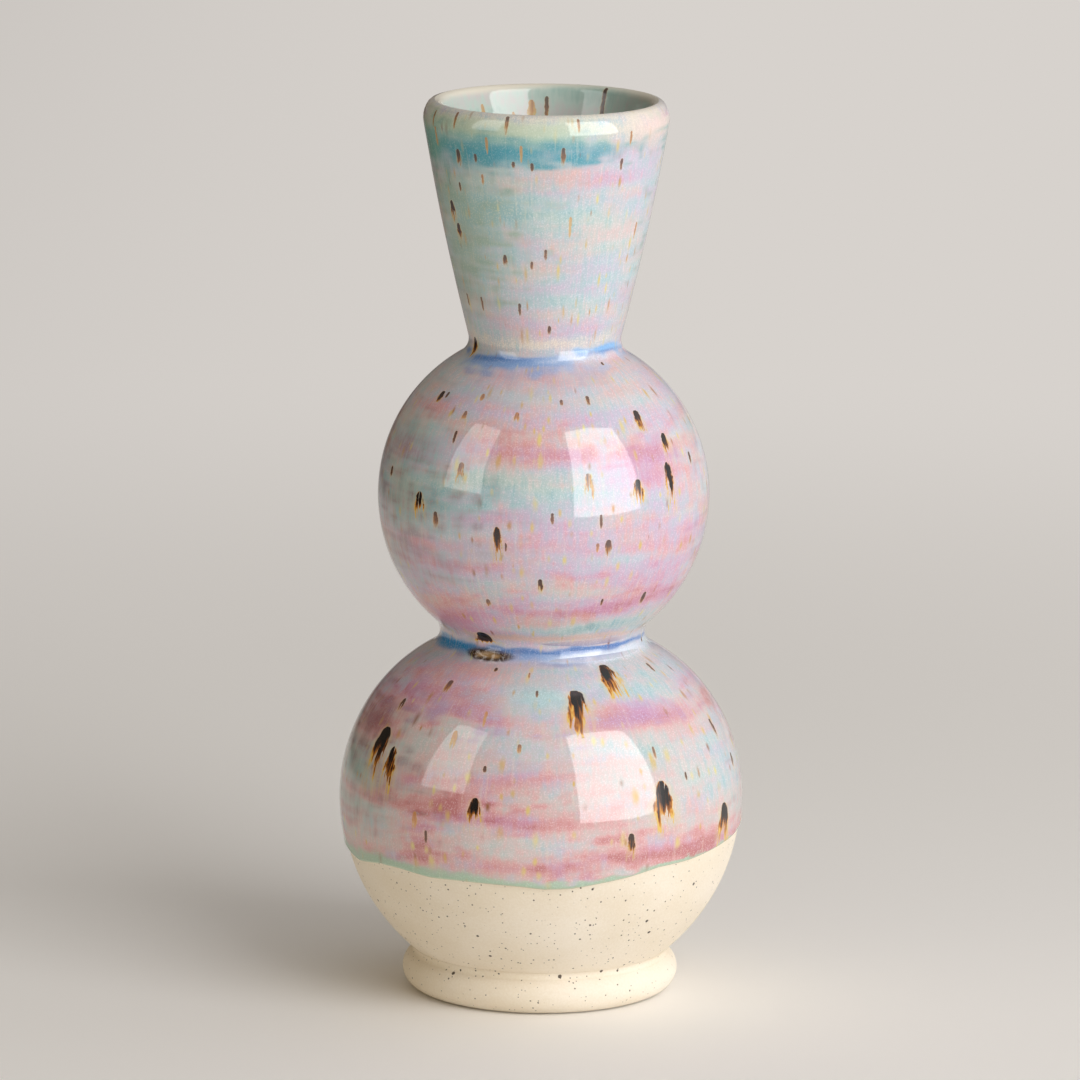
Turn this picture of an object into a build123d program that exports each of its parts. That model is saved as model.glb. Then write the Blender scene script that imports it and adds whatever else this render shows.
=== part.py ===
"""A double gourd vase in stoneware, made as thrown sections that are joined with slip and then glazed.

Millimetres, +Z up. The origin is the middle of the resting face under the foot, on the vase's own axis.
Sketches lie in the XZ plane: the first number of a point is its distance from the axis, the second its height.
"""
import os
from math import sqrt

from build123d import *

# Walls and layers
CLAY_WALL = 3.8           # the thrown wall, the same all the way up
FLOOR_THICKNESS = 5.0     # clay under the vase's inside
FLOOR_ROUND = 8.0         # inside corner between the wall and the floor
SLIP_THICKNESS = 0.8      # slip in each of the three seams
SLIP_SET_BACK = 0.2       # the slip is wiped back this far from the faces of the wall
GLAZE_THICKNESS = 0.5     # glaze coat, outside and inside

# Foot ring
FOOT_RADIUS = 31.5        # the widest part of the foot's roll
FOOT_ROLL = 4.35          # radius of the roll's round section
FOOT_RING_WIDTH = 10.0    # from the roll's widest part in to the recess under the floor
FOOT_EDGE_ROUND = 0.8     # eased edge inside the resting face
GROOVE_RADIUS = 29.1      # the narrowest part of the groove above the foot
GROOVE_ROUND = 1.2

# Lower bulb and the waist above it
LOWER_BULB_RADIUS = 45.7
SHOULDER_ROUND = 39.2     # the shoulder is a little flatter than a ball
LOWER_WAIST_RADIUS = 22.8
LOWER_WAIST_ROUND = 4.5

# Upper bulb and the waist above it
UPPER_BULB_RADIUS = 37.2
UPPER_WAIST_RADIUS = 16.8
UPPER_WAIST_ROUND = 4.5

# Neck and lip
NECK_HEIGHT = 54.0        # from the upper waist's seam to the top of the clay lip
NECK_SWELL = 650.0        # radius of the neck's slightly swollen outline
LIP_RADIUS = 28.0         # where the neck's outline would reach the top
LIP_OUTER_ROUND = 5.2     # the lip leans in gently outside
LIP_CREST_ROUND = 1.3     # and turns over tightly at its top

# The glaze's lower edge: the vase was held at a slant in the glaze
DIP_HEIGHT = 34.8
DIP_SLANT = 3.2           # degrees, the +X side is the higher one


def leg(hypotenuse, other_leg):
    """The second leg of a right triangle."""
    return sqrt(hypotenuse**2 - other_leg**2)


def touching_centre(a, reach_a, b, reach_b):
    """The point at two given distances from a and b, to the right of the way from a to b."""
    way = (b - a).normalized()
    span = (b - a).length
    along = (reach_a**2 - reach_b**2 + span**2) / (2 * span)
    return a + way * along + Vector(way.Y, -way.X) * leg(reach_a, along)


# Centres of the outline's round stretches, from the foot up. Neighbours touch without a corner.
foot_roll = Vector(FOOT_RADIUS - FOOT_ROLL, FOOT_ROLL)

groove_r = GROOVE_RADIUS + GROOVE_ROUND
groove = Vector(groove_r, foot_roll.Y + leg(FOOT_ROLL + GROOVE_ROUND, groove_r - foot_roll.X))

lower_bulb_centre = Vector(0, groove.Y + leg(LOWER_BULB_RADIUS + GROOVE_ROUND, groove_r))
shoulder = Vector(LOWER_BULB_RADIUS - SHOULDER_ROUND, lower_bulb_centre.Y)

lower_waist_r = LOWER_WAIST_RADIUS + LOWER_WAIST_ROUND
lower_waist_rise = leg(SHOULDER_ROUND + LOWER_WAIST_ROUND, lower_waist_r - shoulder.X)
lower_waist = Vector(lower_waist_r, shoulder.Y + lower_waist_rise)

upper_bulb_rise = leg(UPPER_BULB_RADIUS + LOWER_WAIST_ROUND, lower_waist_r)
upper_bulb_centre = Vector(0, lower_waist.Y + upper_bulb_rise)

upper_waist_r = UPPER_WAIST_RADIUS + UPPER_WAIST_ROUND
upper_waist_rise = leg(UPPER_BULB_RADIUS + UPPER_WAIST_ROUND, upper_waist_r)
upper_waist = Vector(upper_waist_r, upper_bulb_centre.Y + upper_waist_rise)

lip_corner = Vector(LIP_RADIUS, upper_waist.Y + NECK_HEIGHT)
neck = touching_centre(lip_corner, NECK_SWELL, upper_waist, NECK_SWELL + UPPER_WAIST_ROUND)

crest_height = lip_corner.Y - LIP_CREST_ROUND
crest_reach = NECK_SWELL - CLAY_WALL + LIP_CREST_ROUND
crest = Vector(neck.X + leg(crest_reach, crest_height - neck.Y), crest_height)
lip_outside = touching_centre(
    neck, NECK_SWELL - LIP_OUTER_ROUND, crest, LIP_OUTER_ROUND - LIP_CREST_ROUND
)

# Heights of the seams: each lies at the narrowest place between two sections
foot_seam = groove.Y
lower_waist_seam = lower_waist.Y
upper_waist_seam = upper_waist.Y
half_slip = SLIP_THICKNESS / 2
base_height = foot_seam + half_slip
floor_height = base_height + FLOOR_THICKNESS
recess_radius = FOOT_RADIUS - FOOT_RING_WIDTH


def towards(start, end):
    return (end - start).normalized()


def arc(centre, start, end):
    """The short way round a centre from start to end."""
    middle = centre + towards(centre, (start + end) * 0.5) * (start - centre).length
    return ThreePointArc(start, middle, end)


def side_points(outward):
    """Where the round stretches of neck and bulbs touch, at a distance outward of the clay's outer face."""
    neck_reach = NECK_SWELL + outward
    upper_reach = UPPER_BULB_RADIUS + outward
    shoulder_reach = SHOULDER_ROUND + outward
    return [
        neck + towards(neck, upper_waist) * neck_reach,
        upper_bulb_centre + towards(upper_bulb_centre, upper_waist) * upper_reach,
        upper_bulb_centre + towards(upper_bulb_centre, lower_waist) * upper_reach,
        shoulder + towards(shoulder, lower_waist) * shoulder_reach,
        Vector(LOWER_BULB_RADIUS + outward, lower_bulb_centre.Y),
    ]


def side(points):
    """Draws the waists, the upper bulb and the shoulder, from the neck's foot down to the widest place."""
    for centre, start, end in zip(
        (upper_waist, upper_bulb_centre, lower_waist, shoulder), points, points[1:]
    ):
        arc(centre, start, end)


def crest_point(outward):
    return crest + Vector(0, LIP_CREST_ROUND + outward)


def groove_point(outward):
    return lower_bulb_centre + towards(lower_bulb_centre, groove) * (LOWER_BULB_RADIUS + outward)


def outside(outward):
    """Draws the outer face from the lip's crest down to the groove, at a distance outward of the clay."""
    lip_top = crest + towards(lip_outside, crest) * (LIP_CREST_ROUND + outward)
    lip_foot = neck + towards(neck, lip_outside) * (NECK_SWELL + outward)
    points = side_points(outward)
    arc(crest, crest_point(outward), lip_top)
    arc(lip_outside, lip_top, lip_foot)
    arc(neck, lip_foot, points[0])
    side(points)
    arc(lower_bulb_centre, points[-1], groove_point(outward))


def inside(inward):
    """Draws the inner face from the lip's crest down to the axis, at a distance inward of the clay."""
    depth = CLAY_WALL + inward
    points = side_points(-depth)
    lip_foot = neck + towards(neck, crest) * (NECK_SWELL - depth)
    corner_round = FLOOR_ROUND - inward
    bulb_reach = LOWER_BULB_RADIUS - depth
    corner_height = floor_height + FLOOR_ROUND
    corner_r = leg(bulb_reach - corner_round, lower_bulb_centre.Y - corner_height)
    corner = Vector(corner_r, corner_height)
    corner_top = lower_bulb_centre + towards(lower_bulb_centre, corner) * bulb_reach
    corner_foot = corner - Vector(0, corner_round)
    arc(crest, crest_point(inward), lip_foot)
    arc(neck, lip_foot, points[0])
    side(points)
    arc(lower_bulb_centre, points[-1], corner_top)
    arc(corner, corner_top, corner_foot)
    Line(corner_foot, (0, corner_foot.Y))


# The whole clay wall, turned once: its sections are cut from it at the seams
with BuildPart() as clay_wall:
    with BuildSketch(Plane.XZ):
        with BuildLine():
            outside(0)
            roll_top = foot_roll + towards(foot_roll, groove) * FOOT_ROLL
            arc(groove, groove_point(0), roll_top)
            arc(foot_roll, roll_top, (foot_roll.X, 0))
            Polyline(
                (foot_roll.X, 0),
                (recess_radius, 0),
                (recess_radius, base_height),
                (0, base_height),
                (0, floor_height),
            )
            inside(0)
        make_face()
    revolve(axis=Axis.Z)

with BuildPart() as foot_ring:
    add(clay_wall)
    split(bisect_by=Plane.XY.offset(foot_seam - half_slip), keep=Keep.BOTTOM)
    resting_face = foot_ring.faces().sort_by(Axis.Z)[0]
    recess_edge = resting_face.edges().sort_by(SortBy.RADIUS)[0]
    fillet(recess_edge, radius=FOOT_EDGE_ROUND)

with BuildPart() as foot_slip:
    with BuildSketch(Plane.XY.offset(foot_seam - half_slip)):
        Circle(GROOVE_RADIUS - SLIP_SET_BACK)
        Circle(recess_radius + SLIP_SET_BACK, mode=Mode.SUBTRACT)
    extrude(amount=SLIP_THICKNESS)

with BuildPart() as lower_bulb:
    add(clay_wall)
    split(bisect_by=Plane.XY.offset(foot_seam + half_slip), keep=Keep.TOP)
    split(bisect_by=Plane.XY.offset(lower_waist_seam - half_slip), keep=Keep.BOTTOM)

with BuildPart() as lower_waist_slip:
    with BuildSketch(Plane.XY.offset(lower_waist_seam - half_slip)):
        Circle(LOWER_WAIST_RADIUS - SLIP_SET_BACK)
        Circle(LOWER_WAIST_RADIUS - CLAY_WALL + SLIP_SET_BACK, mode=Mode.SUBTRACT)
    extrude(amount=SLIP_THICKNESS)

with BuildPart() as upper_bulb:
    add(clay_wall)
    split(bisect_by=Plane.XY.offset(lower_waist_seam + half_slip), keep=Keep.TOP)
    split(bisect_by=Plane.XY.offset(upper_waist_seam - half_slip), keep=Keep.BOTTOM)

with BuildPart() as upper_waist_slip:
    with BuildSketch(Plane.XY.offset(upper_waist_seam - half_slip)):
        Circle(UPPER_WAIST_RADIUS - SLIP_SET_BACK)
        Circle(UPPER_WAIST_RADIUS - CLAY_WALL + SLIP_SET_BACK, mode=Mode.SUBTRACT)
    extrude(amount=SLIP_THICKNESS)

with BuildPart() as flared_neck:
    add(clay_wall)
    split(bisect_by=Plane.XY.offset(upper_waist_seam + half_slip), keep=Keep.TOP)

# The glaze coat covers the outside from the lip's crest down to the slanted dip line
with BuildPart() as outer_glaze:
    with BuildSketch(Plane.XZ):
        with BuildLine():
            outside(0)
            outside(GLAZE_THICKNESS)
            Line(crest_point(0), crest_point(GLAZE_THICKNESS))
            Line(groove_point(0), groove_point(GLAZE_THICKNESS))
        make_face()
    revolve(axis=Axis.Z)
    dip_line = Plane.XY.offset(DIP_HEIGHT).rotated((0, -DIP_SLANT, 0))
    split(bisect_by=dip_line, keep=Keep.TOP)

with BuildPart() as inner_glaze:
    with BuildSketch(Plane.XZ):
        with BuildLine():
            inside(0)
            inside(GLAZE_THICKNESS)
            Line(crest_point(0), crest_point(GLAZE_THICKNESS))
            Line((0, floor_height), (0, floor_height + GLAZE_THICKNESS))
        make_face()
    revolve(axis=Axis.Z)

PIECES = {
    "foot_ring": foot_ring,
    "foot_slip": foot_slip,
    "lower_bulb": lower_bulb,
    "lower_waist_slip": lower_waist_slip,
    "upper_bulb": upper_bulb,
    "upper_waist_slip": upper_waist_slip,
    "flared_neck": flared_neck,
    "outer_glaze": outer_glaze,
    "inner_glaze": inner_glaze,
}

os.makedirs("parts", exist_ok=True)
for name, piece in PIECES.items():
    piece.part.label = name
    export_step(piece.part, f"parts/{name}.step")
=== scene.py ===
"""A double gourd vase in speckled stoneware with a streaked reactive glaze: the looks around its solids."""
from math import atan2, ceil, cos, pi, radians, sin, sqrt

import bpy
import numpy as np
from mathutils import Euler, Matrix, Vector, noise


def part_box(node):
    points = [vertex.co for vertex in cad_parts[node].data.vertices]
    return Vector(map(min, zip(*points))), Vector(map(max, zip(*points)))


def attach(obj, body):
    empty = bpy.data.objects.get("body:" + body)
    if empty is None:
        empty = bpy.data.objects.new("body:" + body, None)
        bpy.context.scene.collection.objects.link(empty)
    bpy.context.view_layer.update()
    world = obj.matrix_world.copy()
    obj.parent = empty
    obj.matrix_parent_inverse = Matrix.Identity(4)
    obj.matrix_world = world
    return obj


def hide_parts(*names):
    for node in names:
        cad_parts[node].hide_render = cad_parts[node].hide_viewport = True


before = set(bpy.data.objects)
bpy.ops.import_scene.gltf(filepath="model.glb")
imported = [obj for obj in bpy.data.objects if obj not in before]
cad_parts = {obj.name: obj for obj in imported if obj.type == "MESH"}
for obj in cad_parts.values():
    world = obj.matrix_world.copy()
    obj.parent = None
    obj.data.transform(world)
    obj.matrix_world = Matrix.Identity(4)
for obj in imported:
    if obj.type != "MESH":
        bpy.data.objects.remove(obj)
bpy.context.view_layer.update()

MM = 0.001

# The turned outline, as in the solids
CLAY_WALL = 3.8
GLAZE_THICKNESS = 0.5
FLOOR_THICKNESS = 5.0
FLOOR_ROUND = 8.0
FOOT_RADIUS = 31.5
FOOT_ROLL = 4.35
GROOVE_RADIUS = 29.1
GROOVE_ROUND = 1.2
LOWER_BULB_RADIUS = 45.7
SHOULDER_ROUND = 39.2
LOWER_WAIST_RADIUS = 22.8
LOWER_WAIST_ROUND = 4.5
UPPER_BULB_RADIUS = 37.2
UPPER_WAIST_RADIUS = 16.8
UPPER_WAIST_ROUND = 4.5
NECK_SWELL = 650.0
LIP_RADIUS = 28.0
LIP_OUTER_ROUND = 5.2
LIP_CREST_ROUND = 1.3

# Heights that the solids give
FOOT_SEAM = (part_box("foot_ring")[1].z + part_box("lower_bulb")[0].z) / 2 / MM
BASE_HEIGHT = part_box("lower_bulb")[0].z / MM
LOWER_WAIST_SEAM = (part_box("lower_bulb")[1].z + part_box("upper_bulb")[0].z) / 2 / MM
UPPER_WAIST_SEAM = (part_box("upper_bulb")[1].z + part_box("flared_neck")[0].z) / 2 / MM
LIP_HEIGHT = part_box("flared_neck")[1].z / MM


# The outline's round stretches

def leg(hypotenuse, other_leg):
    """The second leg of a right triangle."""
    return sqrt(hypotenuse**2 - other_leg**2)


def towards(start, end):
    return (end - start).normalized()


def touching_centre(a, reach_a, b, reach_b):
    """The point at two given distances from a and b, to the right of the way from a to b."""
    way = towards(a, b)
    span = (b - a).length
    along = (reach_a**2 - reach_b**2 + span**2) / (2 * span)
    return a + way * along + Vector((way.y, -way.x)) * leg(reach_a, along)


foot_roll = Vector((FOOT_RADIUS - FOOT_ROLL, FOOT_ROLL))
groove = Vector((GROOVE_RADIUS + GROOVE_ROUND, FOOT_SEAM))
lower_bulb_centre = Vector((0, groove.y + leg(LOWER_BULB_RADIUS + GROOVE_ROUND, groove.x)))
shoulder = Vector((LOWER_BULB_RADIUS - SHOULDER_ROUND, lower_bulb_centre.y))
lower_waist = Vector((LOWER_WAIST_RADIUS + LOWER_WAIST_ROUND, LOWER_WAIST_SEAM))
upper_bulb_rise = leg(UPPER_BULB_RADIUS + LOWER_WAIST_ROUND, lower_waist.x)
upper_bulb_centre = Vector((0, lower_waist.y + upper_bulb_rise))
upper_waist = Vector((UPPER_WAIST_RADIUS + UPPER_WAIST_ROUND, UPPER_WAIST_SEAM))
lip_corner = Vector((LIP_RADIUS, LIP_HEIGHT))
neck = touching_centre(lip_corner, NECK_SWELL, upper_waist, NECK_SWELL + UPPER_WAIST_ROUND)
crest_height = LIP_HEIGHT - LIP_CREST_ROUND
crest_reach = NECK_SWELL - CLAY_WALL + LIP_CREST_ROUND
crest = Vector((neck.x + leg(crest_reach, crest_height - neck.y), crest_height))
lip_outside = touching_centre(
    neck, NECK_SWELL - LIP_OUTER_ROUND, crest, LIP_OUTER_ROUND - LIP_CREST_ROUND
)
floor_height = BASE_HEIGHT + FLOOR_THICKNESS


def arc(centre, start, end, spacing):
    """Points along the short way round a centre, without the first one."""
    first = start - centre
    last = end - centre
    turn = atan2(first.x * last.y - first.y * last.x, first.dot(last))
    count = max(2, ceil(abs(turn) * first.length / spacing))
    points = []
    for step in range(1, count + 1):
        angle = atan2(first.y, first.x) + turn * step / count
        points.append(centre + Vector((cos(angle), sin(angle))) * first.length)
    return points


def side(outward, spacing):
    """The outline from the neck's foot down to the lower bulb's widest place."""
    upper_reach = UPPER_BULB_RADIUS + outward
    shoulder_reach = SHOULDER_ROUND + outward
    joints = [
        neck + towards(neck, upper_waist) * (NECK_SWELL + outward),
        upper_bulb_centre + towards(upper_bulb_centre, upper_waist) * upper_reach,
        upper_bulb_centre + towards(upper_bulb_centre, lower_waist) * upper_reach,
        shoulder + towards(shoulder, lower_waist) * shoulder_reach,
        Vector((LOWER_BULB_RADIUS + outward, lower_bulb_centre.y)),
    ]
    points = [joints[0]]
    rounds = ((upper_waist, 0.5), (upper_bulb_centre, 1), (lower_waist, 0.5), (shoulder, 1))
    for (centre, share), start, end in zip(rounds, joints, joints[1:]):
        points += arc(centre, start, end, spacing * share)
    return points


def lip_crest(outward):
    return crest + Vector((0, LIP_CREST_ROUND + outward))


def bulb_point(outward, angle):
    """A point of the lower bulb's round, at an angle below its widest place."""
    reach = LOWER_BULB_RADIUS + outward
    return lower_bulb_centre + Vector((cos(angle), -sin(angle))) * reach


def outside(outward, spacing, end_angle):
    """The outer outline from the lip's crest down to an angle below the lower bulb's widest place."""
    lip_top = crest + towards(lip_outside, crest) * (LIP_CREST_ROUND + outward)
    lip_foot = neck + towards(neck, lip_outside) * (NECK_SWELL + outward)
    lower = side(outward, spacing)
    points = [lip_crest(outward)]
    points += arc(crest, points[-1], lip_top, spacing)
    points += arc(lip_outside, lip_top, lip_foot, spacing)
    points += arc(neck, lip_foot, lower[0], spacing)
    points += lower[1:]
    points += arc(lower_bulb_centre, lower[-1], bulb_point(outward, end_angle), spacing)
    return points


def inside(inward, spacing):
    """The inner outline from the lip's crest down to the axis."""
    depth = CLAY_WALL + inward
    lip_foot = neck + towards(neck, crest) * (NECK_SWELL - depth)
    lower = side(-depth, spacing)
    corner_round = FLOOR_ROUND - inward
    bulb_reach = LOWER_BULB_RADIUS - depth
    corner_height = floor_height + FLOOR_ROUND
    corner_r = leg(bulb_reach - corner_round, lower_bulb_centre.y - corner_height)
    corner = Vector((corner_r, corner_height))
    corner_top = lower_bulb_centre + towards(lower_bulb_centre, corner) * bulb_reach
    corner_foot = corner - Vector((0, corner_round))
    points = [lip_crest(inward)]
    points += arc(crest, points[-1], lip_foot, spacing)
    points += arc(neck, lip_foot, lower[0], spacing)
    points += lower[1:]
    points += arc(lower_bulb_centre, lower[-1], corner_top, spacing)
    points += arc(corner, corner_top, corner_foot, spacing)
    points.append(Vector((0, corner_foot.y)))
    return points


# Turning on the wheel

SMOOTH_EDGE = radians(40)


def turn(name, outline, steps):
    """Draws an outline by extruding a point along it, spins it round the axis and closes the seam."""
    bpy.ops.object.select_all(action="DESELECT")
    bpy.ops.mesh.primitive_plane_add(size=MM)
    piece = bpy.context.object
    piece.name = piece.data.name = name
    bpy.ops.object.mode_set(mode="EDIT")
    bpy.ops.mesh.merge(type="CENTER")
    here = Vector((0, 0))
    for index, point in enumerate(outline):
        way = (point - here) * MM
        shift = {"value": (way.x, 0, way.y)}
        if index == 0:
            bpy.ops.transform.translate(**shift)
        else:
            bpy.ops.mesh.extrude_region_move(TRANSFORM_OT_translate=shift)
        here = point
    bpy.ops.mesh.select_all(action="SELECT")
    bpy.ops.mesh.spin(steps=steps, angle=2 * pi, center=(0, 0, 0), axis=(0, 0, 1))
    bpy.ops.mesh.select_all(action="SELECT")
    bpy.ops.mesh.remove_doubles(threshold=0.001 * MM)
    bpy.ops.mesh.normals_make_consistent(inside=False)
    bpy.ops.object.mode_set(mode="OBJECT")
    bpy.ops.object.shade_smooth_by_angle(angle=SMOOTH_EDGE)
    return piece


def read_places(piece):
    """Each vertex's bearing from the front in degrees, its distance from the axis and its height in mm."""
    places = np.empty(len(piece.data.vertices) * 3)
    piece.data.vertices.foreach_get("co", places)
    x, y, heights = places.reshape(-1, 3).T / MM
    return np.degrees(np.arctan2(x, -y)), np.hypot(x, y), heights


def write_places(piece, bearings, radii, heights):
    turned = np.radians(bearings)
    places = np.stack([radii * np.sin(turned), -radii * np.cos(turned), heights], axis=1) * MM
    piece.data.vertices.foreach_set("co", places.ravel())
    piece.data.update()


def swing(bearings, bearing, period):
    """The signed angle from one bearing to others, in a pattern that repeats after a period."""
    return (bearings - bearing + period / 2) % period - period / 2


def soft_step(values):
    """A smooth rise from 0 to 1."""
    values = np.clip(values, 0, 1)
    return values * values * (3 - 2 * values)


def wander(bearings, radii, heights, wide, tall, seed):
    """Smooth noise over the surface, mostly within a half of 0, with blots of a width and height in mm."""
    turned = np.radians(bearings)
    spots = np.stack(
        [radii * np.sin(turned) / wide, -radii * np.cos(turned) / wide, heights / tall], axis=1
    )
    return np.array([noise.noise(spot) for spot in spots + seed])


# The glaze coat and its dip line

COAT_STEPS = 300
COAT_SPACING = 0.95
HIDDEN_SPACING = 12.0
DIP_ANGLE = radians(12.5)
EDGE_ZONE = 2.4
EDGE_SPACING = 0.3
EDGE_ROUND = 0.8
EDGE_SWELL = 0.14
EDGE_LEAST = 0.03
HAND_UNEVENNESS = 0.16
HAND_SIZE = 32.0
RIPPLE = 0.022
RIPPLE_SIZE = 7.0

# The unevenness starts this far below the lower bulb's widest place and is full this far above that
UNEVEN_START = 4.0
UNEVEN_REACH = 10.0

# Where the dip line runs: bearing in degrees from the front, height in mm
DIP_LINE = [
    (-140, 36.0), (-105, 34.2), (-76, 33.0), (-67, 32.5), (-54, 34.1), (-45, 34.3), (-34, 33.6),
    (-24, 33.8), (-15, 33.7), (-6, 33.4), (1, 32.8), (9, 32.9), (17, 33.8), (26, 34.8), (36, 36.3),
    (48, 36.6), (57, 37.3), (66, 37.9), (75, 38.3), (82, 39.1), (110, 40.4), (145, 38.8), (180, 37.4),
]

# A blistered scab just under the lower waist: bearing, height, half width in degrees, half height in mm
SCAB = (-30, 81.5, 15, 1.35)
SCAB_RISE = 0.75
SCAB_EVEN_SHARE = 0.8
SCAB_LUMP = 1.6

# How patches of colour and relief fade with the squared distance from their middle, 1 at the rim
DAB_RIM = 1.35
DAB_RIM_WIDTH = 0.9
PATCH_FALL = 1.1
LEAST_FEATHER = 0.35


def dip_heights(bearings):
    line_bearings, line_heights = zip(*DIP_LINE)
    return np.interp(bearings, line_bearings, line_heights, period=360)


def above_dip_line(bearings, radii, heights):
    """How far points lie above the dip line, along the lower bulb's round."""
    reach = LOWER_BULB_RADIUS + GLAZE_THICKNESS
    centre = lower_bulb_centre.y
    edge = np.arcsin((centre - dip_heights(bearings)) / reach)
    return (edge - np.arctan2(centre - heights, radii)) * reach


def spread_out(bearings, heights, bearing, height, half_bearing, half_height, period=360):
    """The squared distance from a patch's middle, 1 at its rim."""
    across = swing(bearings, bearing, period) / half_bearing
    up = (heights - height) / half_height
    return across**2 + up**2


def dab(bearings, heights, *place):
    """How far inside a round patch points lie: 1 in its middle, 0 a little outside its rim."""
    return soft_step((DAB_RIM - spread_out(bearings, heights, *place)) / DAB_RIM_WIDTH)


def soft_patch(bearings, heights, feather, *place):
    """A patch with a long soft rim, drawn out into feathers by noise."""
    steepness = PATCH_FALL * np.maximum(1 + feather, LEAST_FEATHER)
    return np.exp(-steepness * spread_out(bearings, heights, *place, REPEAT))


def shape_coat(piece):
    """Pulls the lower edge to the dip line, rounds it and gives the skin its hand-made unevenness."""
    bearings, radii, heights = read_places(piece)
    clay = outside(0, COAT_SPACING, DIP_ANGLE)
    clay_radii = np.interp(heights, [point.y for point in clay][::-1], [point.x for point in clay][::-1])
    skin = radii > clay_radii + GLAZE_THICKNESS / 4

    centre = lower_bulb_centre.y
    below = heights < centre
    reach = np.hypot(radii, heights - centre)
    edge = np.arcsin((centre - dip_heights(bearings)) / (LOWER_BULB_RADIUS + GLAZE_THICKNESS))
    angle = np.arctan2(centre - heights, radii) * edge / DIP_ANGLE
    from_edge = np.maximum((edge - angle) * reach, 0)
    rounding = np.sqrt(1 - (1 - np.minimum(from_edge / EDGE_ROUND, 1)) ** 2)
    swell = EDGE_SWELL * np.exp(-((from_edge - EDGE_ROUND) / EDGE_ROUND) ** 2)
    thickness = np.maximum((GLAZE_THICKNESS + swell) * rounding, EDGE_LEAST)
    reach = np.where(skin, LOWER_BULB_RADIUS + thickness, reach)
    radii = np.where(below, reach * np.cos(angle), radii)
    heights = np.where(below, centre - reach * np.sin(angle), heights)

    uneven = soft_step((heights - centre + UNEVEN_START) / UNEVEN_REACH)
    sway = HAND_UNEVENNESS * wander(bearings, radii, heights, HAND_SIZE, HAND_SIZE, seed=3)
    ripple = RIPPLE * wander(bearings, radii, heights, RIPPLE_SIZE, RIPPLE_SIZE, seed=11)
    lumps = SCAB_EVEN_SHARE + wander(bearings, radii, heights, SCAB_LUMP, SCAB_LUMP, seed=5)
    scab = SCAB_RISE * dab(bearings, heights, *SCAB) * lumps
    radii = radii + np.where(skin, uneven * (sway + ripple) + scab, 0)
    write_places(piece, bearings, radii, heights)


def make_outer_glaze():
    reach = LOWER_BULB_RADIUS + GLAZE_THICKNESS
    outer = outside(GLAZE_THICKNESS, COAT_SPACING, DIP_ANGLE - EDGE_ZONE / reach)
    outer += arc(lower_bulb_centre, outer[-1], bulb_point(GLAZE_THICKNESS, DIP_ANGLE), EDGE_SPACING)
    under = outside(0, HIDDEN_SPACING, DIP_ANGLE)
    coat = turn("outer_glaze_coat", outer + under[::-1] + outer[:1], COAT_STEPS)
    shape_coat(coat)
    return coat


# The glaze lining and the slip bead in the groove above the foot

LINING_STEPS = 200
LINING_SPACING = 1.2
LINING_SWELL = 0.8
LINING_SWELL_DEPTH = 9.2
LINING_SWELL_REACH = 8.2
BEAD_STEPS = 240
BEAD_SPACING = 0.2
BEAD_PROUD = 0.06
BEAD_DEPTH = 3.0


def swollen(point):
    """A point of the lining's surface, moved inwards where the glaze gathers under the lip."""
    share = max(0.0, 1 - abs(LIP_HEIGHT - point.y - LINING_SWELL_DEPTH) / LINING_SWELL_REACH)
    return point - Vector((LINING_SWELL * share * share * (3 - 2 * share), 0))


def make_lining():
    surface = [swollen(point) for point in inside(GLAZE_THICKNESS, LINING_SPACING)]
    under = inside(0, HIDDEN_SPACING)
    return turn("glaze_lining", surface + under[::-1] + surface[:1], LINING_STEPS)


def make_slip_bead():
    """Slip wiped smooth in the groove, from the bulb's round to the foot's roll."""
    reach = GROOVE_ROUND - BEAD_PROUD
    top = groove + towards(groove, lower_bulb_centre) * reach
    bottom = groove + towards(groove, foot_roll) * reach
    depth = Vector((BEAD_DEPTH, 0))
    outline = [top] + arc(groove, top, bottom, BEAD_SPACING) + [bottom - depth, top - depth, top]
    return turn("foot_slip_bead", outline, BEAD_STEPS)


# Where the glaze's streaks, washes of colour and iron spots lie

# Streaks and washes repeat after half a turn, and patterns that run down lie on a straight tube
REPEAT = 180
TUBE_RADIUS = 40.0

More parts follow.
